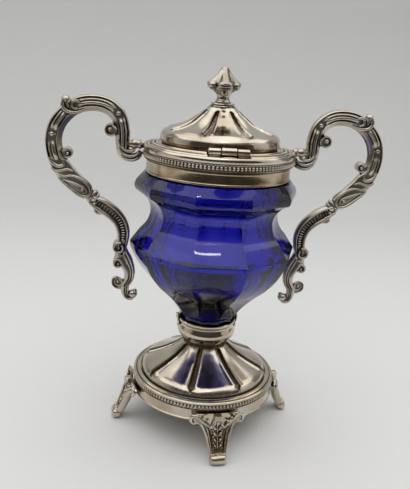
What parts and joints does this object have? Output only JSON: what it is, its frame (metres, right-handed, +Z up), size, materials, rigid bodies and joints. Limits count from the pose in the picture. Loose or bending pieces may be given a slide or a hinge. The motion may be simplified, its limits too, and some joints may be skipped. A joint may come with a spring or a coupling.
{
  "type": "covered sugar bowl",
  "caption": "Urn-shaped covered bowl: facetted blue glass body, hinged fluted domed lid with bud finial, two scroll handles, fluted round foot on splayed scroll legs.",
  "frame": {"origin": "on the table, under the middle of the bowl", "axes": "+Z up through the glass and the finial, X through the two handles, -Y towards the lid's hinge"},
  "size_m": [0.1558, 0.092, 0.1733],
  "materials": {
    "silver": "aged silver, polished on the high places and dark in the hollows",
    "dark_silver": "brownish tarnished silver",
    "brass": "plain turned brass",
    "cobalt_glass": "thick cobalt blue glass with cut facets",
    "plaster": "set plaster bedding, hidden",
    "leather": "plain cut leather"
  },
  "bodies": {
    "bowl": {"glass_body": "cobalt_glass", "neck_bedding": "plaster", "collar_band": "dark_silver", "collar_bead_ring": "silver", "collar_rim": "silver", "hinge_leaf_collar": "silver", "hinge_pin": "brass", "handle_right": "silver", "handle_left": "silver", "stem_cup": "silver", "cup_bedding": "plaster", "foot_stud": "brass", "foot_washer": "leather", "foot_nut": "brass", "foot_dome": "silver", "base_ring": "silver", "base_bead_ring": "silver", "base_band": "silver", "foot_front": "silver", "foot_right": "silver", "foot_back": "silver", "foot_left": "silver"},
    "lid": {"lid_dome": "silver", "lid_bezel": "dark_silver", "finial_collar": "silver", "finial": "silver", "finial_nut": "brass", "hinge_leaf_lid": "silver"}
  },
  "joints": [
    {"name": "lid_hinge", "type": "hinge", "parent": "bowl", "child": "lid", "pos_m": [0, -0.0293, 0.1396], "axis": [1, 0, 0], "range_deg": [0, 100]}
  ]
}
